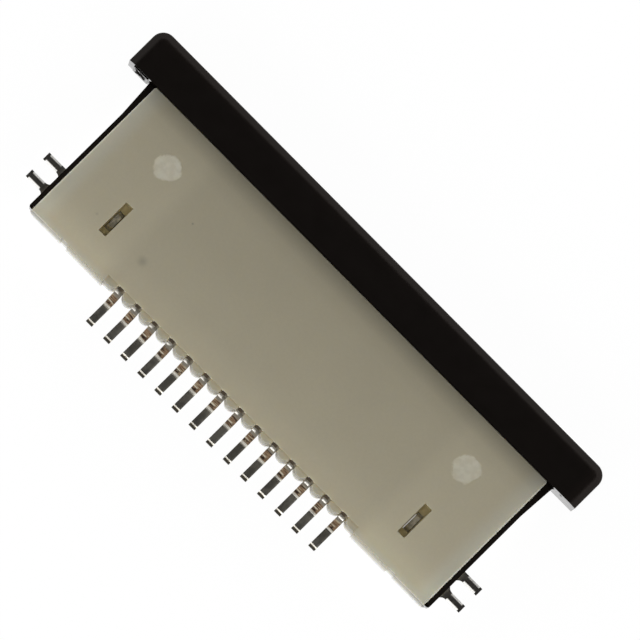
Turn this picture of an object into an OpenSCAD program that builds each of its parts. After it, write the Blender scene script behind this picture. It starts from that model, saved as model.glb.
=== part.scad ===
// Right-angle slide-lock connector for flat flexible cable, for surface mounting.
// +X runs along the contact row, +Y towards the cable entry, +Z up from the board.
// The origin is at the centre of the housing's underside, on the board. Millimetres.
// A depth d is counted back from the housing's front face, so y = front_y - d.

/* [Contact row] */
// Number of contacts
ways = 14; // [4:1:20]
// Distance from one contact to the next
pitch = 1.0; // [0.85:0.05:1.25]
// Thickness of the contact strip, along the row
strip_t = 0.34; // [0.2:0.01:0.4]

/* [Cable] */
// Thickness of the flat cable that the connector takes
cable_t = 0.3; // [0.2:0.01:0.35]
// Room for the cable above and below, with the slider locked
cable_gap = 0.05; // [0.02:0.01:0.08]
// Room for the cable at each side
cable_side_gap = 0.075; // [0.03:0.005:0.15]

/* [Housing] */
// Height of the housing above the board
housing_h = 2.7; // [2.5:0.05:3.2]
// Depth of the housing from front face to rear face
housing_depth = 7.18; // [7:0.02:8]
// Housing beyond the centre of the last contact, at each end
end_w = 4.9; // [4.7:0.01:6]
// Height of the lower jaw that the cable lies on
jaw_h = 0.95; // [0.9:0.01:1.1]
// Thickness of the upper jaw over the slider's tongue
roof_t = 0.75; // [0.6:0.01:0.8]
// Depth of the mouth for the cable and the tongue
mouth_depth = 4.7; // [4.5:0.05:4.9]
// Lead-in chamfer at the front of the lower jaw
mouth_lead = 0.18; // [0.05:0.01:0.3]
// Plastic left below each contact slot
slot_floor = 0.45; // [0.35:0.01:0.5]
// Plastic left above each contact slot
slot_roof = 0.45; // [0.35:0.01:0.5]
// Depth at which the contact slots begin, behind the front lip
slot_start = 0.55; // [0.3:0.05:0.7]
// Clearance on each side of a contact in its slot
slot_gap = 0.03; // [0.01:0.005:0.05]
// Set-back of the roof, where the slots open upwards over the contact tails
roof_setback = 0.36; // [0.2:0.01:0.5]
// Radius of the rounded comb teeth between the tails
tooth_r = 0.38; // [0.34:0.01:0.5]
// Set-back of the teeth from the rear face
tooth_set = 0.06; // [0.02:0.01:0.2]
// How far the last tooth at each end runs past its middle
end_tooth = 0.27; // [0.1:0.01:0.3]
// Drop from the roof to the top of the comb teeth
tooth_drop = 0.06; // [0.02:0.01:0.3]
// Length of the raised land beside the comb, along the row
land_w = 2.04; // [1:0.02:2.2]
// How far the land stands out from the rear face
land_proud = 0.03; // [0.01:0.01:0.15]
// Width of the shallow groove between the land and the end block
groove_w = 0.38; // [0.2:0.02:0.5]
// Depth of that groove
groove_d = 0.05; // [0.03:0.01:0.2]
// Height of the end flange that carries the hold-down and guides the arm
flange_h = 0.8; // [0.6:0.01:0.85]
// Radius of the flange's upright rear corner
flange_r = 0.3; // [0.1:0.01:0.5]
// Radius of the edges round the top of the housing
top_r = 0.08; // [0.03:0.01:0.12]
// Radius of the roof's front corners, seen from above
roof_corner = 0.12; // [0.05:0.01:0.2]
// Diameter of each shallow ejector mark in the roof
mark_dia = 1.2; // [0.8:0.05:1.4]
// Depth of an ejector mark
mark_d = 0.02; // [0.01:0.005:0.05]
// Depth of the ejector marks' centres behind the front face
mark_pos = 2.0; // [1.2:0.05:2.6]

/* [Hold-down window] */
// Distance of the window from the last contact's centre
window_x = 2.19; // [2:0.01:2.6]
// Distance of the window's centre from the housing's rear face
window_back = 2.17; // [1.9:0.01:2.3]
// Width of the window in the roof
window_w = 0.4; // [0.36:0.01:0.5]
// Length of the window
window_len = 1.62; // [1.4:0.02:1.8]
// Height of the ledge inside the window
ledge_z = 2.0; // [1.5:0.05:2.2]

/* [Hold-down] */
// Thickness of the hold-down's sheet
hd_t = 0.25; // [0.15:0.01:0.3]
// Width of each solder prong
prong_w = 0.38; // [0.25:0.01:0.5]
// Distance from prong to prong
prong_pitch = 1.0; // [0.9:0.05:1.2]
// Distance of the rear prong's centre from the housing's rear face
prong_back = 1.15; // [0.95:0.01:1.25]
// How far the prongs reach past the flange
prong_len = 1.06; // [0.6:0.02:1.4]
// Length of the square tip where the prong was cut from its strip
tip_len = 0.12; // [0.05:0.01:0.2]
// Width of the coined bevel along a prong's edges
prong_bevel = 0.095; // [0.03:0.005:0.12]
// Drop of that bevel
prong_bevel_h = 0.06; // [0.03:0.01:0.12]
// Fillet at the root of the prongs
prong_fillet = 0.3; // [0.1:0.01:0.31]
// Width of the leg that stands in the window
leg_w = 0.88; // [0.6:0.01:1]
// How far the leg stands behind the middle of its window
leg_shift = 0.04; // [0:0.01:0.1]
// Height of the leg above the board
leg_h = 2.05; // [1.6:0.05:2.3]
// Clearance round the leg in its slot
leg_gap = 0.02; // [0.01:0.005:0.04]
// Height of the barbs on the leg's edges
barb = 0.02; // [0.005:0.005:0.04]
// Length of those barbs
barb_len = 0.25; // [0.1:0.01:0.4]

/* [Slider] */
// Depth of the slider's bar, front to back
bar_depth = 1.95; // [1.5:0.01:2.4]
// Height of the bar's underside above the board
bar_lift = 0.1; // [0.05:0.01:0.2]
// How far each ear reaches past its arm
ear_w = 1.33; // [0.8:0.01:1.8]
// Radius of the bar's front corners, seen from above
bar_corner = 0.57; // [0.4:0.01:0.8]
// Width of the bevel along the bar's top edge
bar_bevel = 0.3; // [0.1:0.01:0.35]
// Drop of that bevel
bar_bevel_h = 0.2; // [0.1:0.01:0.3]
// Radius where the bevel meets the bar's top
bar_ease = 0.25; // [0.1:0.01:0.3]
// Radius where the bevel meets the bar's upright sides
bar_edge = 0.1; // [0.05:0.01:0.15]
// Gap between the locked bar and the housing
lock_gap = 0.02; // [0.01:0.005:0.05]
// How far the slider moves from locked to open
travel = 1.5; // [1:0.05:1.6]
// Length of the tongue that presses the cable down
tongue_len = 3.5; // [3:0.05:3.9]
// Length of the thinned lead at the tongue's tip
tongue_lead = 0.7; // [0.3:0.05:1]
// Rise of that lead
tongue_rise = 0.22; // [0.1:0.01:0.3]
// Flare at the front of the bar's cable slot
flare = 0.3; // [0.1:0.01:0.4]
// Running clearance of the slider's tongue and arms
slide_gap = 0.03; // [0.015:0.005:0.05]
// Thickness of an arm
arm_t = 0.8; // [0.6:0.01:1]
// How far an arm stands out from the roof's edge
arm_proud = 0.23; // [0.1:0.01:0.3]
// Extra width at the root of an arm
arm_swell = 0.11; // [0.02:0.01:0.2]
// Length over which that width fades
arm_swell_len = 1.7; // [0.8:0.05:2.5]
// Distance of an arm's end from the housing's rear face
arm_short = 0.06; // [0.03:0.01:0.4]
// How far the hook reaches in from the arm
hook_w = 0.35; // [0.2:0.01:0.45]
// Length of the hook
hook_len = 0.8; // [0.5:0.05:1]
// Distance from the arm's end to the hook
hook_back = 0.5; // [0.3:0.05:0.8]
// Width of the gate vestige on the left ear
gate_w = 0.8; // [0.3:0.05:1]
// Distance of the vestige from the ear's end
gate_pos = 0.3; // [0.1:0.05:0.5]
// How far the vestige stands out from the ear's rear face
gate_proud = 0.05; // [0.02:0.01:0.1]

/* [Contact] */
// Height of the contact bump's top above the board
bump_z = 1.08; // [1.02:0.01:1.14]
// Depth of the bump behind the front face
bump_pos = 2.2; // [1.8:0.05:2.6]
// Radius of the bump
bump_r = 0.3; // [0.2:0.01:0.4]
// Depth of the spring beam's nose
beam_nose = 0.85; // [0.75:0.05:1]
// Thickness of the spring beam at its nose
beam_nose_t = 0.2; // [0.15:0.01:0.25]
// Thickness of the spring beam at its root
beam_root_t = 0.36; // [0.25:0.01:0.4]
// Room under the spring beam
beam_clear = 0.17; // [0.12:0.01:0.2]
// Depth at which the upper beam ends
upper_nose = 1.9; // [1.5:0.05:2.4]
// Thickness of the upper beam
upper_t = 0.26; // [0.2:0.01:0.28]
// Width of the contact's spine, front to back
spine_w = 0.75; // [0.6:0.05:1]
// Distance from the mouth's end to the spine
spine_gap = 0.05; // [0.02:0.01:0.1]
// Height of the barbs on the spine's top edge
spine_barb = 0.04; // [0.02:0.005:0.08]
// Distance from the housing's rear face to the end of the leg on the slot's floor
rear_leg_back = 0.7; // [0.4:0.05:1.2]
// Thickness of that leg
rear_leg_t = 0.35; // [0.2:0.01:0.5]
// Thickness of the tail, seen from the side
tail_t = 0.26; // [0.2:0.01:0.3]
// Height of the tail's middle line where it leaves the housing
tail_z = 1.45; // [1.3:0.05:1.6]
// Distance from the housing's rear face in to where the tail starts to bend down
shoulder_back = 0.32; // [0.1:0.01:0.35]
// Slope of the tail between its bends, in degrees
tail_slope = 71; // [60:1:80]
// Bend radius of the tail, at its middle line
tail_r = 0.25; // [0.2:0.01:0.35]
// How far the tail's cut end lies behind the housing's rear face
tail_reach = 1.48; // [1.2:0.01:2.1]
// Distance of the coined notch from the tail's cut end
notch_back = 0.12; // [0.1:0.01:0.3]
// Width of that notch
notch_w = 0.11; // [0.06:0.01:0.15]
// Depth of that notch
notch_d = 0.025; // [0.01:0.005:0.08]

/* [Hidden] */
$fn = 48;
cut = 0.5; // how far a cutting shape runs past the face that it opens
joint = 0.01; // how far two shapes of one piece run into each other
arc_steps = 6; // straight steps in an arc made of points
row_half = (ways - 1) * pitch / 2;
front_y = housing_depth / 2;
roof_half = row_half + end_w;
roof_z = housing_h - roof_t;
slot_top = housing_h - slot_roof;
slot_w = strip_t + 2 * slot_gap;
cable_half = (ways + 1) * pitch / 2;
mouth_half = cable_half + cable_side_gap;
pass_top = jaw_h + cable_t + 2 * cable_gap; // underside of the tongue

arm_out = roof_half + arm_proud;
arm_in = arm_out - arm_t;
arm_z = flange_h + slide_gap;
arm_top = roof_z - slide_gap;
arm_end = housing_depth - arm_short;
guide_in = arm_in - slide_gap; // inner wall of the arm's guide
flange_half = arm_out - slide_gap;
bar_half = arm_out + ear_w;
bevel_turn = atan(bar_bevel_h / bar_bevel); // slope of the bar's bevel
hook_rear = arm_end - hook_back;
hook_front = hook_rear - hook_len;

comb_half = row_half + pitch / 2 + end_tooth;
tooth_back = housing_depth - tooth_set;
tooth_h = housing_h - tooth_drop;
land_end = comb_half + land_w;
window_centre = row_half + window_x;
window_pos = housing_depth - window_back;
leg_in = window_centre - hd_t / 2;
plate_front = window_pos + leg_shift - leg_w / 2;
prong_rear = housing_depth - prong_back;
prong_pos = prong_rear - prong_pitch;
prong_tip = flange_half + prong_len;
hold_down_rear = prong_rear + prong_w / 2 + prong_fillet; // room for the fillet behind the prong
spine_front = mouth_depth + spine_gap;
spine_back = spine_front + spine_w;
shoulder_pos = housing_depth - shoulder_back;
tail_end = housing_depth + tail_reach;

CONTACTS = [for (i = [1 : ways]) str("contact_", i < 10 ? "0" : "", i)];

// Y of a point at depth d behind the front face
function at(d) = front_y - d;

// Points along an arc round a centre, from one angle to another, both counted from straight up
function arc(centre, r, a0, a1) = [
    for (k = [0 : arc_steps]) let (a = a0 + (a1 - a0) * k / arc_steps) centre + r * [sin(a), cos(a)]
];

// Centre of contact i along the row, counted from 1 at the -X end
function contact_x(i) = (i - 1) * pitch - row_half;

// Box between two depths, two heights and two places along the row
module block(x0, x1, d0, d1, z0, z1) {
    translate([x0, at(d1), z0]) cube([x1 - x0, d1 - d0, z1 - z0]);
}

// The same shape at both ends of the connector
module both_ends() {
    children();
    mirror([1, 0, 0]) children();
}

// A flat outline in X and depth, raised from z0 to z1
module plate(z0, z1) {
    translate([0, front_y, z0]) mirror([0, 1, 0]) linear_extrude(z1 - z0) children();
}

// A profile in depth and height, as thick as w along the row and centred on x
module slice(x, w) {
    translate([x + w / 2, front_y, 0]) rotate([90, 0, -90]) linear_extrude(w) children();
}

// Square with one rounded corner, used to round or fillet a corner at the origin
module corner_fill(r) {
    difference() {
        square(r);
        translate([r, r]) circle(r);
    }
}

/* ---- Housing ---- */

// Section of the roof between two places, with both upper edges rounded
module roof_section(from, to) {
    polygon(concat(
        [[from, roof_z]],
        arc([from + top_r, housing_h - top_r], top_r, -90, 0),
        arc([to - top_r, housing_h - top_r], top_r, 0, 90),
        [[to, roof_z]]
    ));
}

// Roof: rounded along its upper edges and at its front corners
module roof() {
    intersection() {
        slice(0, 2 * roof_half) roof_section(0, housing_depth);
        translate([0, front_y, 0]) rotate([90, 0, 0]) linear_extrude(housing_depth)
            roof_section(-roof_half, roof_half);
        plate(roof_z, housing_h) difference() {
            translate([-roof_half, 0]) square([2 * roof_half, housing_depth]);
            both_ends() translate([roof_half, 0]) rotate(90) corner_fill(roof_corner);
        }
    }
}

// Outer block: the roof over a lower body with flanges for the arms, and a land beside each end of the comb
module housing_block() {
    roof();
    block(-guide_in, guide_in, 0, housing_depth, 0, roof_z);
    plate(0, flange_h) difference() {
        translate([-flange_half, 0]) square([2 * flange_half, housing_depth]);
        both_ends() translate([flange_half, housing_depth]) rotate(180) corner_fill(flange_r);
    }
    both_ends() block(comb_half, land_end, housing_depth - cut, housing_depth + land_proud, 0, tooth_h);
}

// Mouth for the cable and the tongue, with a lead-in along the lower jaw
module mouth() {
    slice(0, 2 * mouth_half) polygon([
        [-cut, jaw_h - mouth_lead - cut],
        [0, jaw_h - mouth_lead],
        [mouth_lead, jaw_h],
        [mouth_depth, jaw_h],
        [mouth_depth, roof_z],
        [-cut, roof_z]
    ]);
}

// One contact slot, open to the mouth, through the rear face and upwards behind the roof
module contact_slot() {
    block(-slot_w / 2, slot_w / 2, slot_start, housing_depth + cut, slot_floor, slot_top);
    block(-slot_w / 2, slot_w / 2, housing_depth - roof_setback, housing_depth + cut,
        slot_floor, housing_h + cut);
}

// Plan of the comb's rear edge: what lies outside the row of round teeth
module comb_relief() {
    tooth_centre = tooth_back - tooth_r;
    row_end = row_half + pitch / 2;
    difference() {
        translate([-row_end, tooth_centre]) square([2 * row_end, tooth_r + cut]);
        for (i = [0 : ways]) translate([contact_x(i + 0.5), tooth_centre]) circle(tooth_r);
    }
    translate([-comb_half, tooth_back]) square([2 * comb_half, cut]);
}

// Track for the slider's hook: as long as the hook and its travel
module hook_pocket() {
    block(guide_in - hook_w, guide_in + cut, hook_front - travel - slide_gap, hook_rear + slide_gap,
        flange_h, roof_z);
}

// Seat of the hold-down: a recess under the flange, a slot for the leg and the window above
module hold_down_seat() {
    block(leg_in - leg_gap, flange_half + cut, plate_front - leg_gap, hold_down_rear + leg_gap,
        -cut, hd_t + leg_gap);
    block(leg_in - leg_gap, leg_in + hd_t + leg_gap, plate_front - barb, plate_front + leg_w + barb,
        0, ledge_z + cut);
    block(window_centre - window_w / 2, window_centre + window_w / 2,
        window_pos - window_len / 2, window_pos + window_len / 2, ledge_z, housing_h + cut);
}

module housing() {
    color([0.66, 0.64, 0.56]) difference() {
        housing_block();
        mouth();
        for (i = [1 : ways]) translate([contact_x(i), 0, 0]) contact_slot();
        plate(-cut, tooth_h) comb_relief();
        block(-comb_half, comb_half, housing_depth - roof_setback, housing_depth + cut,
            tooth_h, housing_h + cut);
        both_ends() {
            block(land_end, land_end + groove_w, housing_depth - groove_d, housing_depth + cut,
                -cut, housing_h + cut);
            hook_pocket();
            hold_down_seat();
            translate([window_centre, at(mark_pos), housing_h - mark_d]) cylinder(d = mark_dia, h = cut);
        }
    }
}

/* ---- Hold-downs ---- */

// Plan of the plate with its two prongs, the U between them and the fillet behind them
module hold_down_plan() {
    translate([leg_in, plate_front]) square([flange_half - leg_in, hold_down_rear - plate_front]);
    for (pos = [prong_pos, prong_rear])
        translate([leg_in, pos - prong_w / 2]) square([prong_tip - leg_in, prong_w]);
    translate([flange_half, prong_pos + prong_w / 2]) corner_fill(prong_fillet);
    translate([flange_half, prong_rear - prong_w / 2]) mirror([0, 1]) corner_fill(prong_fillet);
    translate([flange_half, prong_rear + prong_w / 2]) corner_fill(prong_fillet);
}

// Coined bevel along one edge of a prong, as the wedge that is cut away
module prong_edge(side) {
    start = flange_half + prong_fillet;
    translate([start, 0, 0]) rotate([90, 0, 90]) linear_extrude(prong_tip - tip_len - start)
        polygon([
            [side * (prong_w / 2 - prong_bevel), hd_t],
            [side * (prong_w / 2 + prong_bevel), hd_t - 2 * prong_bevel_h],
            [side * (prong_w / 2 + prong_bevel), hd_t + cut],
            [side * (prong_w / 2 - prong_bevel), hd_t + cut]
        ]);
}

// The leg bent up from the plate, with a barb on each edge and a chamfered top
module hold_down_leg() {
    top_in = leg_w / 6;
    barb_top = ledge_z - 2 * barb;
    translate([leg_in, 0, 0]) rotate([90, 0, 90]) linear_extrude(hd_t) polygon([
        [at(plate_front), 0],
        [at(plate_front), barb_top - barb_len - barb],
        [at(plate_front - barb), barb_top - barb_len],
        [at(plate_front), barb_top],
        [at(plate_front), leg_h - top_in],
        [at(plate_front + top_in), leg_h],
        [at(plate_front + leg_w - top_in), leg_h],
        [at(plate_front + leg_w), leg_h - top_in],
        [at(plate_front + leg_w), barb_top],
        [at(plate_front + leg_w + barb), barb_top - barb_len],
        [at(plate_front + leg_w), barb_top - barb_len - barb],
        [at(plate_front + leg_w), 0]
    ]);
}

// Hold-down at the +X end: a stamped sheet, coined along its prongs
module hold_down() {
    color([0.62, 0.62, 0.6]) difference() {
        union() {
            plate(0, hd_t) hold_down_plan();
            hold_down_leg();
        }
        for (pos = [prong_pos, prong_rear], side = [-1, 1])
            translate([0, at(pos), 0]) prong_edge(side);
    }
}

/* ---- Slider ---- */

// Section of the bar's bevelled edge, from its inner side at 0 out to r, with both breaks eased
module bar_section(r) {
    ease_back = bar_ease * tan(bevel_turn / 2);
    edge_drop = bar_edge * tan((90 - bevel_turn) / 2);
    polygon(concat(
        [[0, bar_lift], [r, bar_lift]],
        arc([r - bar_edge, housing_h - bar_bevel_h - edge_drop], bar_edge, 90, bevel_turn),
        arc([r - bar_bevel - ease_back, housing_h - bar_ease], bar_ease, bevel_turn, 0),
        [[0, housing_h]]
    ));
}

// The bar across the front, bevelled along its front and ends and round its front corners
module bar() {
    back = -lock_gap;
    front = -lock_gap - bar_depth;
    core_half = bar_half - bar_corner;
    block(-core_half, core_half, front + bar_corner, back, bar_lift, housing_h);
    translate([-core_half, at(front + bar_corner), 0])
        rotate([90, 0, 90]) linear_extrude(2 * core_half) bar_section(bar_corner);
    both_ends() {
        translate([core_half, at(front + bar_corner), 0]) rotate([90, 0, 0])
            linear_extrude(bar_depth - bar_corner) bar_section(bar_corner);
        translate([core_half, at(front + bar_corner), 0])
            rotate_extrude(angle = 90) bar_section(bar_corner);
    }
}

// The tongue, thinned towards its tip on the cable's side
module tongue() {
    top = roof_z - slide_gap;
    slice(0, 2 * cable_half) polygon([
        [-lock_gap - bar_corner, pass_top],
        [tongue_len - tongue_lead, pass_top],
        [tongue_len, pass_top + tongue_rise],
        [tongue_len, top],
        [-lock_gap - bar_corner, top]
    ]);
}

// Slot through the bar for the cable, flared at the front
module cable_slot() {
    front = -lock_gap - bar_depth;
    slice(0, 2 * mouth_half) polygon([
        [front - cut, jaw_h - flare - cut],
        [front, jaw_h - flare],
        [front + flare, jaw_h],
        [cut, jaw_h],
        [cut, pass_top],
        [front + flare, pass_top],
        [front, pass_top + flare],
        [front - cut, pass_top + flare + cut]
    ]);
}

// Arm at the +X end: thick at its root, rounded at its end, hooked inwards
module arm() {
    root = -lock_gap - bar_corner;
    nose = arm_proud / 2;
    hook_in = arm_in - hook_w;
    plate(arm_z, arm_top) union() {
        polygon([
            [arm_in, root],
            [arm_out + arm_swell, root],
            [arm_out + arm_swell, -lock_gap],
            [arm_out, arm_swell_len],
            [arm_out, arm_end - nose],
            [arm_out - nose, arm_end - nose],
            [arm_out - nose, arm_end],
            [arm_in, arm_end],
            [arm_in, hook_rear],
            [hook_in, hook_rear - hook_len / 2],
            [hook_in, hook_front],
            [arm_in, hook_front]
        ]);
        translate([arm_out - nose, arm_end - nose]) circle(nose);
        translate([arm_out + arm_swell - joint, -lock_gap]) corner_fill(arm_swell);
    }
}

// Broken-off gate on the left ear's rear face
module gate_vestige() {
    margin = (housing_h - bar_lift) / 8;
    block(-bar_half + gate_pos, -bar_half + gate_pos + gate_w, -lock_gap - joint, gate_proud - lock_gap,
        bar_lift + margin, housing_h - margin);
}

module slider() {
    color([0.06, 0.055, 0.05]) {
        difference() {
            bar();
            cable_slot();
        }
        tongue();
        both_ends() arm();
        gate_vestige();
    }
}

/* ---- Contacts ---- */

// Part of a bent strip: a ring sector of centre-line radius tail_r, from angle a0 to a1
module bend(a0, a1) {
    reach = 2 * (tail_r + tail_t);
    intersection() {
        difference() {
            circle(tail_r + tail_t / 2);
            circle(tail_r - tail_t / 2);
        }
        polygon([
            [0, 0],
            [reach * cos(a0), reach * sin(a0)],
            [reach * cos((a0 + a1) / 2), reach * sin((a0 + a1) / 2)],
            [reach * cos(a1), reach * sin(a1)]
        ]);
    }
}

// Gull-wing tail: straight out, down at the shoulder, along the board to a cut end
module tail_profile() {
    drop = tail_z - tail_t / 2;
    bend_x = tail_r * sin(tail_slope);
    bend_z = tail_r * (1 - cos(tail_slope));
    riser = (drop - 2 * bend_z) / sin(tail_slope);
    heel_pos = shoulder_pos + 2 * bend_x + riser * cos(tail_slope);
    translate([spine_back - tail_t, tail_z - tail_t / 2])
        square([shoulder_pos - spine_back + tail_t + joint, tail_t]);
    translate([shoulder_pos, tail_z - tail_r]) bend(90 - tail_slope, 90);
    translate([shoulder_pos + bend_x, tail_z - bend_z]) rotate(-tail_slope)
        translate([-joint, -tail_t / 2]) square([riser + 2 * joint, tail_t]);
    translate([heel_pos, tail_t / 2 + tail_r]) bend(270 - tail_slope, 270);
    difference() {
        translate([heel_pos - joint, 0]) square([tail_end - heel_pos + joint, tail_t]);
        translate([tail_end - notch_back, tail_t])
            polygon([[-notch_w / 2, 0], [0, -notch_d], [notch_w / 2, 0], [0, notch_d]]);
    }
}

// Spring beam with its bump, tapering from the spine to a chamfered nose
module beam_profile() {
    under = slot_floor + beam_clear;
    bump_centre = bump_z - bump_r;
    polygon([
        [spine_front + tail_t, under],
        [spine_front + tail_t, under + beam_root_t],
        [spine_front, under + beam_root_t],
        [bump_pos, bump_centre + beam_nose_t / 2],
        [beam_nose + beam_nose_t, bump_centre],
        [beam_nose, bump_centre - beam_nose_t / 2],
        [beam_nose, bump_centre - beam_nose_t],
        [bump_pos, bump_centre - beam_nose_t]
    ]);
    intersection() {
        translate([bump_pos, bump_centre]) circle(bump_r);
        translate([bump_pos - bump_r, bump_centre - beam_nose_t]) square([2 * bump_r, 2 * bump_r]);
    }
}

// Spine between the slot's floor and roof, with the upper beam, the rear leg and two barbs
module spine_profile() {
    top = slot_top - spine_barb;
    throat = (slot_top - slot_floor) / 6;
    translate([spine_front, slot_floor]) square([spine_w, top - slot_floor]);
    translate([spine_front, slot_floor]) square([housing_depth - rear_leg_back - spine_front, rear_leg_t]);
    translate([upper_nose + upper_t / 2, top - upper_t]) square([spine_front - upper_nose, upper_t]);
    translate([upper_nose + upper_t / 2, top - upper_t / 2]) circle(upper_t / 2);
    translate([spine_front, top - upper_t]) rotate(180) corner_fill(throat);
    translate([spine_front, slot_floor + beam_clear + beam_root_t - joint])
        rotate(90) corner_fill(throat / 2);
    for (k = [0, 1])
        translate([spine_front + (0.15 + 0.45 * k) * spine_w, top])
            polygon([[0, -spine_barb], [spine_w / 4, -spine_barb], [spine_w / 4, spine_barb]]);
}

// One contact, blanked from strip in its side profile
module contact(i) {
    color([0.6, 0.58, 0.54]) slice(contact_x(i), strip_t) {
        spine_profile();
        beam_profile();
        tail_profile();
    }
}

housing();
slider();
mirror([1, 0, 0]) hold_down();  // hold_down_left
hold_down();  // hold_down_right
for (i = [1 : ways]) contact(i);
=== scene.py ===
"""Looks of a right-angle slide-lock connector for flat flexible cable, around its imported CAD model.

Lengths are metres in the row frame: +X along the contacts, +Y towards the slider, +Z up from the
board. Depth runs back from the housing's front face, towards the tails. Methods whose names end
in _mm take their places in millimetres, and heights there are above the board.
"""

import math

import bmesh
import bpy
from mathutils import Matrix, Vector, noise


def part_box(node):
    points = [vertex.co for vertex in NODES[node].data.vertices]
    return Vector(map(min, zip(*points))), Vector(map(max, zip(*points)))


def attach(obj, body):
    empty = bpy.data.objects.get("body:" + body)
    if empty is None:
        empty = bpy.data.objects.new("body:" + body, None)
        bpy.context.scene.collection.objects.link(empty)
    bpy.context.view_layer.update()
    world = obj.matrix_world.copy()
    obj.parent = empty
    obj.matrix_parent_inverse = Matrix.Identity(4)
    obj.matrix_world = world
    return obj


MM = 0.001

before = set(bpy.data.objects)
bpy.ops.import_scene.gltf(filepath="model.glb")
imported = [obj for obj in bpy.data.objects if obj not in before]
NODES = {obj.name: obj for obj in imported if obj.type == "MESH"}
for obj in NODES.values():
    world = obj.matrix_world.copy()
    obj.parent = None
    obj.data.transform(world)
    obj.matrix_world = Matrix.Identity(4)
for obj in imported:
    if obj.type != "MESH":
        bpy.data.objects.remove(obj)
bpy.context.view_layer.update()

CONTACTS = sorted(name for name in NODES if name.startswith("contact_"))
HOLD_DOWNS = ("hold_down_left", "hold_down_right")
FIRST_CONTACT, SECOND_CONTACT, LAST_CONTACT = (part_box(CONTACTS[i]) for i in (0, 1, -1))
SLIDER_LOW, SLIDER_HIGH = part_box("slider")

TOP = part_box("housing")[1].z
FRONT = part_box("housing")[1].y
REAR = FRONT - 7.18 * MM  # rear faces of the end blocks
ROOF_HALF = 11.40 * MM  # from the middle to the roof's side edges
ROOF_Z = TOP - 0.75 * MM  # underside of the roof over the side guides
PLATE_TOP = 0.25 * MM  # upper face of the hold-downs' plates
PITCH = SECOND_CONTACT[0].x - FIRST_CONTACT[0].x
ROW_HALF = (LAST_CONTACT[1].x + LAST_CONTACT[0].x) / 2
TAIL_END = FRONT - FIRST_CONTACT[0].y  # depth of the tails' cut ends
WINDOW_X = ROW_HALF + 2.19 * MM  # middles of the hold-downs' windows and of the ejector marks
MARK_Y = FRONT - 2.0 * MM  # middles of the ejector marks
ARM_END = SLIDER_LOW.y
EAR_X = SLIDER_HIGH.x
EAR_Y = FRONT + 0.02 * MM  # rear faces of the slider's ears


# ---- Camera, floor and light ----

VIEW_TURN = math.radians(45.36)  # how far the row is turned in the view
VIEW_BACK = Vector((0.015, -0.078, 0.997)).normalized()  # from the part towards the camera
VIEW_CENTRE = Vector((0.12 * MM, FRONT - 1.97 * MM, TOP))
VIEW_WIDTH = 26.22 * MM
VIEW_DISTANCE = 0.45
SENSOR_WIDTH = 36

SOFTBOXES = ((0, 0.055), (90, 0.05), (180, 0.055), (270, 0.09))  # azimuth in degrees, watts
SOFTBOX_ELEVATION = 42
SOFTBOX_SIZE = 0.1
SOFTBOX_DISTANCE = 0.3

HORIZON = (0.42, (0.85, 0.86, 0.87, 1))  # place on the world's ramp, and colour
OVERHEAD = (0.56, (0.03, 0.03, 0.03, 1))

FLOOR_HALF = 1.0
FLOOR_Z = -0.01 * MM
FLOOR_GLOW = 0.96


def add_camera():
    """Long lens almost straight above, with the row running across the corner of the frame."""
    right = Vector((math.cos(VIEW_TURN), math.sin(VIEW_TURN), 0))
    right = (right - right.dot(VIEW_BACK) * VIEW_BACK).normalized()
    up = VIEW_BACK.cross(right)
    data = bpy.data.cameras.new("camera")
    data.sensor_width = SENSOR_WIDTH
    data.lens = SENSOR_WIDTH * VIEW_DISTANCE / VIEW_WIDTH
    data.clip_start = 0.001
    data.clip_end = 10
    camera = bpy.data.objects.new("camera", data)
    turn = Matrix((right, up, VIEW_BACK)).transposed().to_4x4()
    camera.matrix_world = Matrix.Translation(VIEW_CENTRE + VIEW_DISTANCE * VIEW_BACK) @ turn
    bpy.context.scene.collection.objects.link(camera)
    bpy.context.scene.camera = camera


def add_softbox(azimuth, power):
    """Square soft light aimed at the part from a compass direction."""
    name = f"softbox_{azimuth}"
    data = bpy.data.lights.new(name, "AREA")
    data.shape = "SQUARE"
    data.size = SOFTBOX_SIZE
    data.energy = power
    light = bpy.data.objects.new(name, data)
    a, e = math.radians(azimuth), math.radians(SOFTBOX_ELEVATION)
    towards = Vector((math.cos(e) * math.cos(a), math.cos(e) * math.sin(a), math.sin(e)))
    light.location = SOFTBOX_DISTANCE * towards
    light.rotation_euler = light.location.to_track_quat("Z", "Y").to_euler()
    bpy.context.scene.collection.objects.link(light)


def add_world():
    """Pale surroundings at the horizon that darken overhead."""
    world = bpy.data.worlds.new("surroundings")
    bpy.context.scene.world = world
    world.use_nodes = True
    tree = world.node_tree
    place = tree.nodes.new("ShaderNodeTexCoord")
    split = tree.nodes.new("ShaderNodeSeparateXYZ")
    ramp = tree.nodes.new("ShaderNodeValToRGB")
    for element, (at, colour) in zip(ramp.color_ramp.elements, (HORIZON, OVERHEAD)):
        element.position = at
        element.color = colour
    tree.links.new(place.outputs["Generated"], split.inputs[0])
    tree.links.new(split.outputs["Z"], ramp.inputs["Fac"])
    tree.links.new(ramp.outputs["Color"], tree.nodes["Background"].inputs["Color"])


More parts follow.
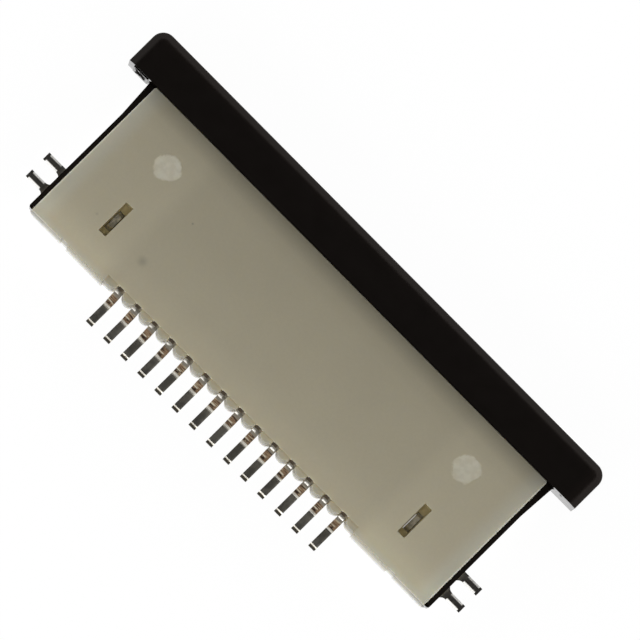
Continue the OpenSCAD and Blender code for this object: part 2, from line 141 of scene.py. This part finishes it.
def add_floor():
    """Pale glowing table top under the part."""
    data = bpy.data.meshes.new("floor")
    corners = ((-1, -1), (1, -1), (1, 1), (-1, 1))
    data.from_pydata([(x * FLOOR_HALF, y * FLOOR_HALF, FLOOR_Z) for x, y in corners], [],
                     [(0, 1, 2, 3)])
    floor = bpy.data.objects.new("floor", data)
    bpy.context.scene.collection.objects.link(floor)
    material = bpy.data.materials.new("table_top")
    material.use_nodes = True
    shader = material.node_tree.nodes["Principled BSDF"]
    shader.inputs["Base Color"].default_value = (0.1, 0.1, 0.1, 1)
    shader.inputs["Roughness"].default_value = 1.0
    shader.inputs["Specular IOR Level"].default_value = 0.0
    shader.inputs["Emission Color"].default_value = (1, 1, 1, 1)
    shader.inputs["Emission Strength"].default_value = FLOOR_GLOW
    data.materials.append(material)


# ---- Material tools ----

class Finish:
    """A procedural material on the piece's own coordinates, built node by node.

    A mask is a socket that runs from 0 to 1, and self.colour is the colour reached so far.
    """

    def __init__(self, name, colour, roughness, metallic=0.0):
        self.material = bpy.data.materials.new(name)
        self.material.use_nodes = True
        self.tree = self.material.node_tree
        self.shader = self.tree.nodes["Principled BSDF"]
        self.shader.inputs["Metallic"].default_value = metallic
        self.shader.inputs["Roughness"].default_value = roughness
        self.material.diffuse_color = (*colour, 1)
        self.place = self.add("ShaderNodeTexCoord").outputs["Object"]
        split = self.add("ShaderNodeSeparateXYZ")
        self.link(self.place, split.inputs[0])
        self.x, self.y, self.z = split.outputs
        self.colour = self.plain_colour(colour)
        self.bumps = None

    def add(self, kind, **settings):
        node = self.tree.nodes.new(kind)
        for key, value in settings.items():
            setattr(node, key, value)
        return node

    def link(self, source, target):
        self.tree.links.new(source, target)

    def plain_colour(self, colour):
        node = self.add("ShaderNodeRGB")
        node.outputs[0].default_value = (*colour, 1)
        return node.outputs[0]

    def math(self, operation, *values):
        """Result of a Math node; the values are sockets or numbers."""
        node = self.add("ShaderNodeMath", operation=operation)
        for socket, value in zip(node.inputs, values):
            if isinstance(value, (int, float)):
                socket.default_value = value
            else:
                self.link(value, socket)
        return node.outputs[0]

    def both(self, mask, *others):
        """High only where all the masks are: their product."""
        for other in others:
            mask = self.math("MULTIPLY", mask, other)
        return mask

    def fade(self, value, start, end):
        """0 where value is at start, 1 where it is at end, eased between them."""
        node = self.add("ShaderNodeMapRange", interpolation_type="SMOOTHSTEP")
        self.link(value, node.inputs["Value"])
        node.inputs["From Min"].default_value = start
        node.inputs["From Max"].default_value = end
        return node.outputs["Result"]

    def fade_mm(self, value, start, end):
        """Fade along a distance, between two places in millimetres."""
        return self.fade(value, start * MM, end * MM)

    def band_mm(self, value, foot, low, high, far_foot):
        """1 from low to high millimetres along a distance, eased to 0 at its two feet."""
        return self.both(self.fade_mm(value, foot, low), self.fade_mm(value, far_foot, high))

    def between(self, mask, low, high):
        """low where the mask is 0 and high where it is 1."""
        node = self.add("ShaderNodeMapRange")
        self.link(mask, node.inputs["Value"])
        node.inputs["To Min"].default_value = low
        node.inputs["To Max"].default_value = high
        return node.outputs["Result"]

    def noise(self, per_mm, detail=3.0, stretch=(1, 1, 1)):
        """Cloudy noise from 0 to 1 with that many features to the millimetre."""
        mapping = self.add("ShaderNodeMapping")
        self.link(self.place, mapping.inputs["Vector"])
        mapping.inputs["Scale"].default_value = stretch
        node = self.add("ShaderNodeTexNoise")
        self.link(mapping.outputs[0], node.inputs["Vector"])
        node.inputs["Scale"].default_value = per_mm / MM
        node.inputs["Detail"].default_value = detail
        return node.outputs["Fac"]

    def spot(self, x, y, radius, soft):
        """Upright round patch: 1 inside, 0 outside, with a soft rim."""
        dx = self.math("SUBTRACT", self.x, x)
        dy = self.math("SUBTRACT", self.y, y)
        squares = self.math("ADD", self.math("MULTIPLY", dx, dx), self.math("MULTIPLY", dy, dy))
        return self.fade(self.math("SQRT", squares), radius + soft, radius - soft)

    def blend_to(self, mask, colour):
        """Changes the colour towards another one where the mask is high."""
        node = self.add("ShaderNodeMix", data_type="RGBA")
        self.link(mask, node.inputs["Factor"])
        self.link(self.colour, node.inputs["A"])
        self.link(self.plain_colour(colour), node.inputs["B"])
        self.colour = node.outputs["Result"]

    def scale_by(self, mask, low, high):
        """Multiplies the colour by low where the mask is 0 and by high where it is 1."""
        node = self.add("ShaderNodeVectorMath", operation="SCALE")
        self.link(self.colour, node.inputs[0])
        self.link(self.between(mask, low, high), node.inputs["Scale"])
        self.colour = node.outputs[0]

    def tone_along(self, distance, stops):
        """Multiplies the colour by a tone that follows a distance, from stops of (mm, tone)."""
        reach, brightest = stops[-1][0], max(tone for _, tone in stops)
        node = self.add("ShaderNodeValToRGB")
        self.link(self.math("DIVIDE", distance, reach * MM), node.inputs["Fac"])
        elements = node.color_ramp.elements
        for index, (at, tone) in enumerate(stops):
            element = elements[index] if index < 2 else elements.new(at / reach)
            element.position = at / reach
            element.color = (*[tone / brightest] * 3, 1)
        self.scale_by(node.outputs["Color"], 0.0, brightest)

    def drive(self, socket, mask, low, high):
        """Sets a socket of the shader to low where the mask is 0 and to high where it is 1."""
        self.link(self.between(mask, low, high), self.shader.inputs[socket])

    def bump(self, height, depth, strength=1.0):
        """Adds relief of that depth, on top of what was added before."""
        node = self.add("ShaderNodeBump")
        node.inputs["Distance"].default_value = depth
        node.inputs["Strength"].default_value = strength
        self.link(height, node.inputs["Height"])
        if self.bumps is not None:
            self.link(self.bumps, node.inputs["Normal"])
        self.bumps = node.outputs["Normal"]

    def finish(self):
        self.link(self.colour, self.shader.inputs["Base Color"])
        if self.bumps is not None:
            self.link(self.bumps, self.shader.inputs["Normal"])
        return self.material


# ---- Finishes ----

NYLON = (0.66, 0.6, 0.44)
NYLON_SIDE_EDGES = (0.71, 0.684, 0.56)
NYLON_REAR_EDGE = (0.66, 0.63, 0.525)
NYLON_PAINTED_GLOW = (0.95, 0.938, 0.885)
NYLON_MARK = (1.0, 0.93, 0.75)
NYLON_WINDOW = (0.86, 0.77, 0.51)

# depth in millimetres and tone: the roof is darkest beside the slider in painted shade, and painted
# light brightens it towards the rear
ROOF_SHADE_AND_LIGHT = ((0.0, 0.5), (0.3, 0.65), (0.8, 0.91), (1.4, 1.0), (2.0, 1.02), (3.3, 1.06),
              (4.7, 1.11), (5.4, 1.14), (6.1, 1.21), (6.6, 1.23), (6.82, 1.21), (7.18, 1.18))
# the smudge and the specks: x, depth, radius and softness in millimetres, and tone
ROOF_SPECKS = ((-6.7, 5.46, 0.16, 0.16, 0.8), (-6.35, 2.9, 0.04, 0.03, 0.7),
               (-9.4, 5.4, 0.05, 0.05, 0.86))

BLACK = (0.0062, 0.0044, 0.0036)
TORN_BLACK = (0.014, 0.011, 0.01)

TIN = (0.68, 0.65, 0.58)
# painted shade, painted grey reflection and painted glint on the tails' bends
SHADED_BEND_TIN = (0.34, 0.32, 0.28)
GREY_REFLECTION_TIN = (0.31, 0.28, 0.23)
GLINT_TIN = (1.0, 0.97, 0.9)
BRONZE = (0.27, 0.175, 0.105)
DIE_MARK = (0.5, 0.43, 0.3)
SCORE = (0.06, 0.042, 0.03)
BURR = (0.72, 0.66, 0.52)
PIT = (0.035, 0.024, 0.018)
# painted glint at the foot of the slope
HEEL_GLINT = (0.9, 0.86, 0.76)
CUT_END = (0.13, 0.12, 0.1)
SPINE_SHADED = (0.24, 0.2, 0.17)
SPINE_LIT = (0.62, 0.58, 0.5)

PLATE_TIN = (0.86, 0.85, 0.82)
PLATE_FACE = (0.44, 0.415, 0.38)
SHEARED_LEG = (1.0, 0.98, 0.93)


def natural_nylon():
    """Undyed moulded nylon: matt and translucent, with painted shade beside the slider and painted
    light that makes it pale at the rear.
    """
    f = Finish("natural_nylon", NYLON, 0.5)
    f.shader.inputs["Subsurface Weight"].default_value = 0.35
    f.shader.inputs["Subsurface Radius"].default_value = (1.0, 0.85, 0.55)
    f.shader.inputs["Subsurface Scale"].default_value = 0.4 * MM
    f.shader.inputs["Specular IOR Level"].default_value = 0.35
    across = f.math("ABSOLUTE", f.x)
    depth = f.math("SUBTRACT", FRONT, f.y)
    tint_roof(f, across, depth)
    tint_rear_faces(f, across, depth)
    add_ejector_marks(f)
    light_windows(f, depth)
    for x, back, radius, soft, tone in ROOF_SPECKS:
        f.scale_by(f.spot(x * MM, FRONT - back * MM, radius * MM, soft * MM), 1.0, tone)
    f.bump(f.noise(14.0), 0.004 * MM, 0.6)
    f.drive("Roughness", f.noise(2.0, 2.0), 0.42, 0.6)
    return f.finish()


def tint_roof(f, across, depth):
    """Clouded tone, with painted shade beside the slider and painted light that brightens it towards
    the rear and both ends.
    """
    f.blend_to(f.fade_mm(across, 10.4, 11.35), NYLON_SIDE_EDGES)
    f.blend_to(f.math("MULTIPLY", f.fade_mm(depth, 6.8, 7.1), 0.7), NYLON_REAR_EDGE)
    f.scale_by(f.noise(0.35, 2.0), 0.96, 1.04)
    f.scale_by(f.noise(9.0, 2.0), 0.97, 1.03)
    # painted shade beside the slider and painted light towards the rear
    f.tone_along(depth, ROOF_SHADE_AND_LIGHT)
    ends = f.fade_mm(across, 6.9, 7.9)
    to_the_right = f.fade_mm(f.x, -8, 10)
    rear_corners = f.both(f.fade_mm(across, 10.9, 11.3), f.fade_mm(depth, 3.5, 6))
    # painted light: brighter at both ends, and more so at their rear, where light comes through the
    # nylon
    f.scale_by(ends, 0.98, 1.06)
    f.scale_by(f.both(ends, f.fade_mm(depth, 5.8, 7.0)), 1.0, 1.11)
    f.scale_by(to_the_right, 0.98, 1.03)
    f.scale_by(rear_corners, 1.0, 0.93)


def tint_rear_faces(f, across, depth):
    """Painted shade and light on the rear faces: half the roof's tone under its edge, brighter lower
    down, and a pale painted glow at the foot.
    """
    behind = f.fade_mm(depth, 6.9, 7.05)
    under_edge = f.both(behind, f.fade_mm(f.z, 2.62, 2.58))
    comb = f.fade_mm(across, 7.3, 7.2)
    lower_down = f.fade_mm(f.z, 2.5, 1.5)
    higher_up = f.math("SUBTRACT", 1.0, lower_down)
    tone_lost = f.between(comb, 0.47, 0.52)
    # painted shade under the roof's edge, and painted light lower down
    f.scale_by(f.both(under_edge, tone_lost), 1.0, 0.0)
    f.scale_by(f.both(under_edge, lower_down), 1.0, 1.3)
    f.scale_by(f.both(under_edge, higher_up), 1.0, 0.86)
    # painted shade over the highlights on the roof's rear edge, on the ends' rear band and on the
    # comb's chamfer
    roof_edge = f.band_mm(f.z, 2.642, 2.65, 2.685, 2.698)
    f.scale_by(f.both(roof_edge, f.fade_mm(depth, 6.74, 6.8)), 1.0, 0.76)
    f.scale_by(f.both(under_edge, f.fade_mm(across, 9.0, 10.0)), 1.0, 0.84)
    # painted glow of the table top through the foot of the rear faces
    f.blend_to(f.both(behind, f.fade_mm(f.z, 1.4, 0.4)), NYLON_PAINTED_GLOW)
    f.scale_by(f.both(comb, behind, f.fade_mm(f.z, 2.6, 2.62)), 1.0, 0.9)


def add_ejector_marks(f):
    """Two mottled round patches with a ragged rim, one near each end of the roof."""
    mottle = f.between(f.fade(f.noise(4.0), 0.35, 0.65), 0.7, 1.0)
    ragged = f.between(f.noise(2.5), -0.5, 0.5)
    for side in (-1, 1):
        patch = f.spot(side * WINDOW_X, MARK_Y, 0.6 * MM, 0.3 * MM)
        patch = f.fade(f.math("ADD", patch, ragged), 0.4, 0.7)
        f.blend_to(f.both(patch, mottle), NYLON_MARK)


def light_windows(f, depth):
    """Light that comes through the walls of the hold-downs' windows."""
    walls = f.both(f.fade_mm(f.z, 2.68, 2.6), f.fade_mm(f.z, 1.8, 1.9),
                   f.fade_mm(depth, 6.6, 6.5))
    for side in (-1, 1):
        away = f.math("ABSOLUTE", f.math("SUBTRACT", f.x, side * WINDOW_X))
        f.blend_to(f.both(f.fade_mm(away, 0.3, 0.27), walls), NYLON_WINDOW)


def black_plastic():
    """Black moulded plastic, satin, glossier on the ears' rear faces and the arms' ends, with painted
    reflection lightening the bar's front edge and the right end.
    """
    f = Finish("black_plastic", BLACK, 0.5)
    f.shader.inputs["Specular IOR Level"].default_value = 0.25
    f.shader.inputs["Specular Tint"].default_value = (1.0, 0.88, 0.8, 1)
    f.scale_by(f.noise(0.5, 2.0), 0.85, 1.2)
    painted_front_reflection = f.fade(f.y, FRONT + 1.3 * MM, FRONT + 1.9 * MM)
    painted_right_reflection = f.fade_mm(f.x, 12.1, 12.8)
    # painted reflection: lighter on the bar's rounded front edge and on its right end
    f.scale_by(painted_front_reflection, 1.0, 1.8)
    f.scale_by(painted_right_reflection, 1.0, 1.9)
    ear_faces = f.both(f.fade(f.y, FRONT + 0.03 * MM, FRONT + 0.022 * MM),
                       f.fade(f.y, FRONT - 0.1 * MM, FRONT))
    arm_ends = f.fade(f.y, ARM_END + 0.12 * MM, ARM_END + 0.1 * MM)
    polish = f.math("MULTIPLY", f.math("MAXIMUM", ear_faces, arm_ends), 0.32)
    skin = f.between(f.noise(1.5), 0.4, 0.55)
    f.link(f.math("SUBTRACT", skin, polish), f.shader.inputs["Roughness"])
    f.bump(f.noise(10.0), 0.003 * MM, 0.5)
    return f.finish()


def torn_plastic():
    """Matt torn plastic left where the gates were broken off the slider."""
    f = Finish("torn_plastic", TORN_BLACK, 1.0)
    f.shader.inputs["Specular IOR Level"].default_value = 0.0
    f.scale_by(f.noise(7.0), 0.4, 1.8)
    f.bump(f.noise(8.0), 0.02 * MM)
    return f.finish()


def tinned_contact():
    """Tin over bronze: painted glints and painted shade on the bends, bright on the coined line, bare
    and scored on the slope.
    """
    f = Finish("tinned_contact", TIN, 0.3, metallic=1.0)
    f.shader.inputs["Specular IOR Level"].default_value = 0.0
    depth = f.math("SUBTRACT", FRONT, f.y)
    # 0 to 1 across each contact's own pitch, with its middle at 0.5
    place = f.math("FRACT", f.math("DIVIDE", f.math("ADD", f.x, ROW_HALF + PITCH / 2), PITCH))
    lit_side = f.fade(place, 0.56, 0.66)
    f.scale_by(lit_side, 0.95, 1.45)
    f.scale_by(f.noise(4.0, 2.0), 0.85, 1.25)
    f.scale_by(f.fade(f.noise(1.6, 2.0), 0.4, 0.6), 0.75, 1.1)
    dull_shoulder = shade_shoulder_with_glint(f, depth, place)
    spine = shade_spine(f, depth, place)
    slope = shear_slope(f, depth, place)
    heel_glint = paint_heel_glint(f, depth)
    cut_end = f.fade(depth, TAIL_END - 0.1 * MM, TAIL_END - 0.08 * MM)
    f.blend_to(cut_end, CUT_END)
    matt = heel_glint
    for mask in (slope, cut_end, spine, dull_shoulder):
        matt = f.math("MAXIMUM", matt, mask)
    f.drive("Metallic", matt, 0.9, 0.1)
    f.drive("Roughness", f.noise(6.0), 0.22, 0.4)
    f.bump(f.noise(9.0), 0.004 * MM, 0.5)
    return f.finish()


def shade_shoulder_with_glint(f, depth, place):
    """Upper bend dulled by painted shade, with a painted glint on its left, or on its middle past 3
    mm to the right.

    Gives back the mask of what stays dull.
    """
    shoulder = f.band_mm(depth, 6.87, 6.9, 7.16, 7.19)
    lean = f.add("ShaderNodeMix", data_type="FLOAT")
    f.link(f.fade_mm(f.x, 1.0, 3.0), lean.inputs["Factor"])
    f.link(f.between(place, 0.9, -1.0), lean.inputs["A"])
    off_middle = f.math("ABSOLUTE", f.math("SUBTRACT", place, 0.5))
    f.link(f.between(off_middle, 0.6, -5.0), lean.inputs["B"])
    clouds = f.noise(5.0, stretch=(0.7, 1, 1))
    glint_patches = f.fade(f.math("ADD", clouds, lean.outputs["Result"]), 0.36, 0.6)
    shoulder_glint = f.both(f.band_mm(depth, 6.885, 6.9, 7.04, 7.06), glint_patches)
    # painted shade over the whole bend, then the painted glint in ragged patches
    f.blend_to(shoulder, SHADED_BEND_TIN)
    f.blend_to(shoulder_glint, GLINT_TIN)
    glint_metal = f.both(shoulder_glint, f.between(f.fade_mm(f.x, -4, 3), 0.4, 0.75))
    return f.math("SUBTRACT", shoulder, glint_metal)


def shade_spine(f, depth, place):
    """The spine's top seen through the comb, dark on the left and lit on the right."""
    spine = f.band_mm(depth, 6.7, 6.72, 6.88, 6.9)
    f.blend_to(spine, SPINE_SHADED)
    f.blend_to(f.both(spine, f.fade(place, 0.52, 0.62)), SPINE_LIT)
    return spine


def shear_slope(f, depth, place):
    """Bare bronze on the tail's slope with die marks, scores, a burr, and a pit below it, and a
    painted grey reflection at its top.
    """
    slope = f.both(f.fade_mm(f.z, 0.33, 0.37), f.fade_mm(depth, 7.05, 7.1))
    marks = f.noise(3.2, 4.0, stretch=(0.9, 1, 3.2))
    f.blend_to(slope, BRONZE)
    # painted grey reflection of the bend where the slope starts
    f.blend_to(f.both(slope, f.fade_mm(depth, 7.21, 7.14)), GREY_REFLECTION_TIN)
    f.blend_to(f.both(slope, f.fade(marks, 0.54, 0.64)), DIE_MARK)
    f.blend_to(f.both(slope, f.fade(marks, 0.47, 0.38), f.fade_mm(depth, 7.12, 7.2)), SCORE)
    burr = f.both(f.band_mm(f.z, 0.73, 0.77, 0.84, 0.9), f.fade(place, 0.62, 0.5))
    f.blend_to(f.both(burr, f.fade(f.noise(1.3, 2.0), 0.38, 0.5)), BURR)
    pit = f.both(slope, f.band_mm(f.z, 0.42, 0.48, 0.68, 0.73), f.fade(place, 0.58, 0.5))
    f.blend_to(f.both(pit, f.fade(f.noise(6.0, 2.0), 0.3, 0.55)), PIT)
    return slope


def paint_heel_glint(f, depth):
    """Painted glint on the bend at the foot of the slope, shorter on the contacts to the right.

    Gives back the mask of where it is matt.
    """
    far_end = f.between(f.fade_mm(f.x, 2, 4), 7.69 * MM, 7.62 * MM)
    heel_glint = f.both(f.fade_mm(depth, 7.53, 7.56), f.math("LESS_THAN", depth, far_end))
    # painted glint in ragged patches, matt
    f.blend_to(f.both(heel_glint, f.fade(f.noise(3.0), 0.35, 0.6)), HEEL_GLINT)
    return f.math("MULTIPLY", heel_glint, 0.8)


def tinned_hold_down():
    """Dull tin on the plates, bright on their coined edges, matt on the leg's sheared top."""
    f = Finish("tinned_hold_down", PLATE_TIN, 0.35, metallic=1.0)
    face = f.both(f.fade(f.z, PLATE_TOP - 0.02 * MM, PLATE_TOP - 0.004 * MM),
                  f.fade_mm(f.z, 0.5, 0.4))
    f.blend_to(face, PLATE_FACE)
    f.scale_by(f.both(face, f.noise(5.0, stretch=(2.5, 0.6, 1))), 1.15, 0.55)
    leg = f.fade_mm(f.z, 1.8, 1.9)
    f.blend_to(leg, SHEARED_LEG)
    f.scale_by(f.both(leg, f.fade(f.noise(5.0), 0.35, 0.65)), 1.0, 0.6)
    f.drive("Metallic", leg, 1.0, 0.1)
    f.drive("Roughness", f.noise(5.0), 0.25, 0.45)
    f.bump(f.noise(8.0), 0.004 * MM, 0.6)
    return f.finish()


# ---- Small pieces on the CAD bodies ----

def mesh_of(bm, name, material):
    """Turns a bmesh into a mesh with its faces outwards and one finish."""
    bmesh.ops.recalc_face_normals(bm, faces=bm.faces)
    data = bpy.data.meshes.new(name)
    bm.to_mesh(data)
    bm.free()
    data.materials.append(material)
    return data


def add_piece(name, data, body):
    """Puts a finished mesh in the scene, on its CAD body and with its material slot."""
    piece = bpy.data.objects.new(name, data)
    bpy.context.scene.collection.objects.link(piece)
    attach(piece, body)


def torn(x, y):
    """Ragged height that a torn edge follows, with the same shape on every run."""
    roughness, step, octaves = 0.8, 2.0, 3
    return noise.fractal(Vector((x, y, 0)), roughness, step, octaves)


def gate_scar(name, x, z, half_width, half_height, proud, seed, material):
    """Ragged pad on an ear's rear face: a closed cushion that dips into it along a torn line."""
    columns, rows, bumps_per_mm = 28, 36, 4
    level = EAR_Y + 0.02 * MM  # the pad's own zero, just inside the plastic
    sunk = EAR_Y + 0.08 * MM  # its flat back
    bm = bmesh.new()
    grid = []
    for j in range(rows + 1):
        w = 2 * j / rows - 1
        row = []
        for i in range(columns + 1):
            u = 2 * i / columns - 1
            ragged = torn(u * half_width / MM * bumps_per_mm + seed,
                          w * half_height / MM * bumps_per_mm)
            # full in the middle, torn away towards the rim
            height = 1.0 - max(abs(u), abs(w)) ** 4 * 1.5 + 0.8 * ragged - 0.2
            y = level - proud * max(min(height, 1.0), 0.0)
            row.append(bm.verts.new((x + u * half_width, y, z + w * half_height)))
        grid.append(row)
    for lower, upper in zip(grid, grid[1:]):
        for i in range(columns):
            bm.faces.new((lower[i], lower[i + 1], upper[i + 1], upper[i]))
    rim = (grid[0] + [row[-1] for row in grid[1:]]
           + grid[-1][-2::-1] + [row[0] for row in grid[-2:0:-1]])
    back = [bm.verts.new((vert.co.x, sunk, vert.co.z)) for vert in rim]
    for i in range(len(rim)):
        bm.faces.new((rim[i - 1], rim[i], back[i], back[i - 1]))
    bm.faces.new(back)
    add_piece(name, mesh_of(bm, name, material), "slider_body")


def corner_film(name, x_low, x_high, seed, material):
    """Thin skin of nylon over the rear end of a side guide, with a ragged lower edge."""
    columns, waves_per_mm = 24, 3
    inner, outer = REAR + 0.03 * MM, REAR - 0.008 * MM
    top, low, wave = ROOF_Z + 0.05 * MM, 0.72 * MM, 0.1 * MM
    bm = bmesh.new()
    loops = []
    for i in range(columns + 1):
        x = x_low + (x_high - x_low) * i / columns
        bottom = low + wave * torn(x / MM * waves_per_mm, seed)
        corners = ((inner, top), (outer, top), (outer, bottom), (inner, bottom))
        loops.append([bm.verts.new((x, y, z)) for y, z in corners])
    for here, there in zip(loops, loops[1:]):
        for i in range(4):
            bm.faces.new((here[i], here[i - 1], there[i - 1], there[i]))
    bm.faces.new(loops[0])
    bm.faces.new(loops[-1])
    add_piece(name, mesh_of(bm, name, material), "housing_body")


FLASH_INPUTS = (("Wire", "NodeSocketGeometry"), ("Spacing", "NodeSocketFloat"),
                ("Smallest", "NodeSocketVector"), ("Largest", "NodeSocketVector"),
                ("Seed", "NodeSocketInt"), ("Finish", "NodeSocketMaterial"))
FLASH_TURN = Vector((0.2, 0.2, 0.5))  # most that a crumb turns either way, in radians


def flash_tree():
    """Geometry Nodes: small flat crumbs of moulding flash, one after another along a wire."""
    tree = bpy.data.node_groups.new("moulding_flash", "GeometryNodeTree")
    for name, kind in FLASH_INPUTS:
        tree.interface.new_socket(name, in_out="INPUT", socket_type=kind)
    tree.interface.new_socket("Flash", in_out="OUTPUT", socket_type="NodeSocketGeometry")
    given, result = tree.nodes.new("NodeGroupInput"), tree.nodes.new("NodeGroupOutput")
    curve = tree.nodes.new("GeometryNodeMeshToCurve")
    points = tree.nodes.new("GeometryNodeResampleCurve")
    points.mode = "LENGTH"
    crumb = tree.nodes.new("GeometryNodeMeshIcoSphere")
    crumb.inputs["Radius"].default_value = 1.0
    crumb.inputs["Subdivisions"].default_value = 2
    size = tree.nodes.new("FunctionNodeRandomValue")
    size.data_type = "FLOAT_VECTOR"
    turn = tree.nodes.new("FunctionNodeRandomValue")
    turn.data_type = "FLOAT_VECTOR"
    turn.inputs[0].default_value = -FLASH_TURN
    turn.inputs[1].default_value = FLASH_TURN
    spread = tree.nodes.new("GeometryNodeInstanceOnPoints")
    solid = tree.nodes.new("GeometryNodeRealizeInstances")
    coat = tree.nodes.new("GeometryNodeSetMaterial")
    for source, target in (
        (given.outputs["Wire"], curve.inputs["Mesh"]),
        (curve.outputs["Curve"], points.inputs["Curve"]),
        (given.outputs["Spacing"], points.inputs["Length"]),
        (points.outputs["Curve"], spread.inputs["Points"]),
        (crumb.outputs["Mesh"], spread.inputs["Instance"]),
        (given.outputs["Smallest"], size.inputs[0]),
        (given.outputs["Largest"], size.inputs[1]),
        (given.outputs["Seed"], size.inputs["Seed"]),
        (given.outputs["Seed"], turn.inputs["Seed"]),
        (size.outputs[0], spread.inputs["Scale"]),
        (turn.outputs[0], spread.inputs["Rotation"]),
        (spread.outputs["Instances"], solid.inputs["Geometry"]),
        (solid.outputs["Geometry"], coat.inputs["Geometry"]),
        (given.outputs["Finish"], coat.inputs["Material"]),
        (coat.outputs["Geometry"], result.inputs["Flash"]),
    ):
        tree.links.new(source, target)
    return tree


def moulding_flash(name, runs, spacing, smallest, largest, seed, material):
    """Flash along straight runs from point to point, made a plain mesh on the housing."""
    wire = bpy.data.meshes.new(name + "_wire")
    wire.from_pydata([point for run in runs for point in run],
                     [(2 * i, 2 * i + 1) for i in range(len(runs))], [])
    carrier = bpy.data.objects.new(name + "_carrier", wire)
    bpy.context.scene.collection.objects.link(carrier)
    tree = flash_tree()
    modifier = carrier.modifiers.new("flash", "NODES")
    modifier.node_group = tree
    sockets = {item.name: item.identifier for item in tree.interface.items_tree
               if item.in_out == "INPUT"}
    for label, value in (("Spacing", spacing), ("Smallest", smallest), ("Largest", largest),
                         ("Seed", seed), ("Finish", material)):
        modifier[sockets[label]] = value
    evaluated = carrier.evaluated_get(bpy.context.evaluated_depsgraph_get())
    data = bpy.data.meshes.new_from_object(evaluated)
    data.name = name
    bpy.data.objects.remove(carrier)
    add_piece(name, data, "housing_body")


def dress(nodes, material):
    """Gives CAD nodes their finish."""
    for node in nodes:
        materials = NODES[node].data.materials
        materials.clear()
        materials.append(material)


# ---- The scene ----

bpy.context.scene.view_settings.view_transform = "Standard"
add_camera()
add_world()
add_floor()
for azimuth, power in SOFTBOXES:
    add_softbox(azimuth, power)

nylon = natural_nylon()
dress(["housing"], nylon)
dress(["slider"], black_plastic())
dress(CONTACTS, tinned_contact())
dress(HOLD_DOWNS, tinned_hold_down())

torn_black = torn_plastic()
gate_scar("gate_scar_left", x=-EAR_X + 0.7 * MM, z=1.5 * MM, half_width=0.42 * MM,
          half_height=0.95 * MM, proud=0.1 * MM, seed=3.0, material=torn_black)
gate_scar("gate_scar_right", x=EAR_X - 0.8 * MM, z=2.1 * MM, half_width=0.1 * MM,
          half_height=0.3 * MM, proud=0.03 * MM, seed=8.0, material=torn_black)
flash_ends = (FRONT - 0.3 * MM, REAR + 0.2 * MM)
roof_sides = [[(side * ROOF_HALF, y, ROOF_Z + 0.02 * MM) for y in flash_ends] for side in (-1, 1)]
moulding_flash("roof_side_flash", roof_sides, spacing=0.09 * MM,
               smallest=(0.008 * MM, 0.03 * MM, 0.008 * MM),
               largest=(0.03 * MM, 0.09 * MM, 0.015 * MM), seed=4, material=nylon)
corner_film("corner_film_left", x_low=-11.38 * MM, x_high=-10.7 * MM, seed=2.0, material=nylon)
corner_film("corner_film_right", x_low=10.7 * MM, x_high=11.38 * MM, seed=5.0, material=nylon)
